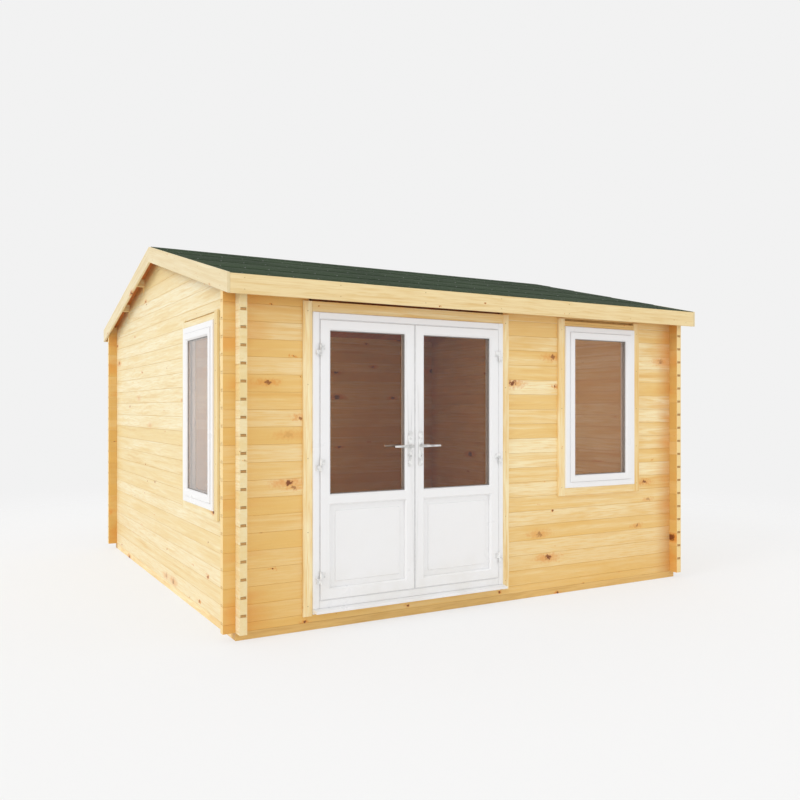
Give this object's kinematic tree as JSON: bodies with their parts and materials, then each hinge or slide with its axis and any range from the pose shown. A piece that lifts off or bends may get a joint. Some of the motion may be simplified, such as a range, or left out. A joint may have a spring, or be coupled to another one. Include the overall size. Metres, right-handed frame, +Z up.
{
  "type": "log cabin",
  "caption": "Garden log cabin of interlocking tongued logs with a low pitched felt roof, a glazed white double door that opens and white framed windows.",
  "frame": {"origin": "on the ground at the middle of the plan", "axes": "+Z up, +Y from the door front to the back, +X to the right seen from the front"},
  "size_m": [3.6768, 3.758, 2.5],
  "materials": {
    "logs": "planed softwood logs, oiled honey colour with knots",
    "base_timber": "sawn treated softwood",
    "floor_boards": "planed tongued boards",
    "roof_boards": "planed tongued boards and beams",
    "trim_timber": "planed softwood boards",
    "felt": "green mineral roofing felt",
    "upvc": "white moulded plastic, satin gloss",
    "glass": "clear sealed double glazing",
    "hinge_paint": "white powder coat",
    "handle_metal": "satin metal"
  },
  "bodies": {
    "cabin": {"front_bottom_log": "logs", "front_wall_left_of_door": "logs", "front_wall_right_of_door": "logs", "front_wall_top": "logs", "back_wall": "logs", "left_wall": "logs", "left_gable": "logs", "right_wall": "logs", "right_gable": "logs", "bearers": "base_timber", "joists": "base_timber", "floor": "floor_boards", "purlins": "roof_boards", "roof_deck": "roof_boards", "fascias": "trim_timber", "left_barges": "trim_timber", "right_barges": "trim_timber", "door_trim": "trim_timber", "front_window_trim": "trim_timber", "left_window_trim": "trim_timber", "roof_felt": "felt", "left_door_jamb": "upvc", "right_door_jamb": "upvc", "door_head": "upvc", "door_threshold": "upvc", "door_cill": "upvc", "front_window_frame": "upvc", "front_window_sash": "upvc", "left_window_frame": "upvc", "left_window_sash": "upvc", "front_window_glass": "glass", "left_window_glass": "glass", "left_jamb_hinges": "hinge_paint", "right_jamb_hinges": "hinge_paint"},
    "left_door": {"left_leaf_frame": "upvc", "left_leaf_glass": "glass", "left_leaf_panel": "upvc", "left_leaf_hinges": "hinge_paint", "left_handle_plates": "handle_metal"},
    "right_door": {"right_leaf_frame": "upvc", "right_leaf_glass": "glass", "right_leaf_panel": "upvc", "right_leaf_hinges": "hinge_paint", "right_handle_plates": "handle_metal"},
    "left_lever_body": {"left_lever": "handle_metal"},
    "right_lever_body": {"right_lever": "handle_metal"}
  },
  "joints": [
    {"name": "left_door_hinge", "type": "hinge", "parent": "cabin", "child": "left_door", "pos_m": [-1.247, -1.793, 0.968], "axis": [0, 0, -1], "range_deg": [0, 100]},
    {"name": "right_door_hinge", "type": "hinge", "parent": "cabin", "child": "right_door", "pos_m": [0.047, -1.793, 0.968], "axis": [0, 0, 1], "range_deg": [0, 100]},
    {"name": "left_lever_turn", "type": "hinge", "parent": "left_door", "child": "left_lever_body", "pos_m": [-0.638, -1.755, 1.067], "axis": [0, -1, 0], "range_deg": [0, 40], "stiffness_Nm_per_rad": 2, "springref_deg": -17.19},
    {"name": "right_lever_turn", "type": "hinge", "parent": "right_door", "child": "right_lever_body", "pos_m": [-0.562, -1.755, 1.067], "axis": [0, 1, 0], "range_deg": [0, 40], "stiffness_Nm_per_rad": 2, "springref_deg": -17.19}
  ]
}
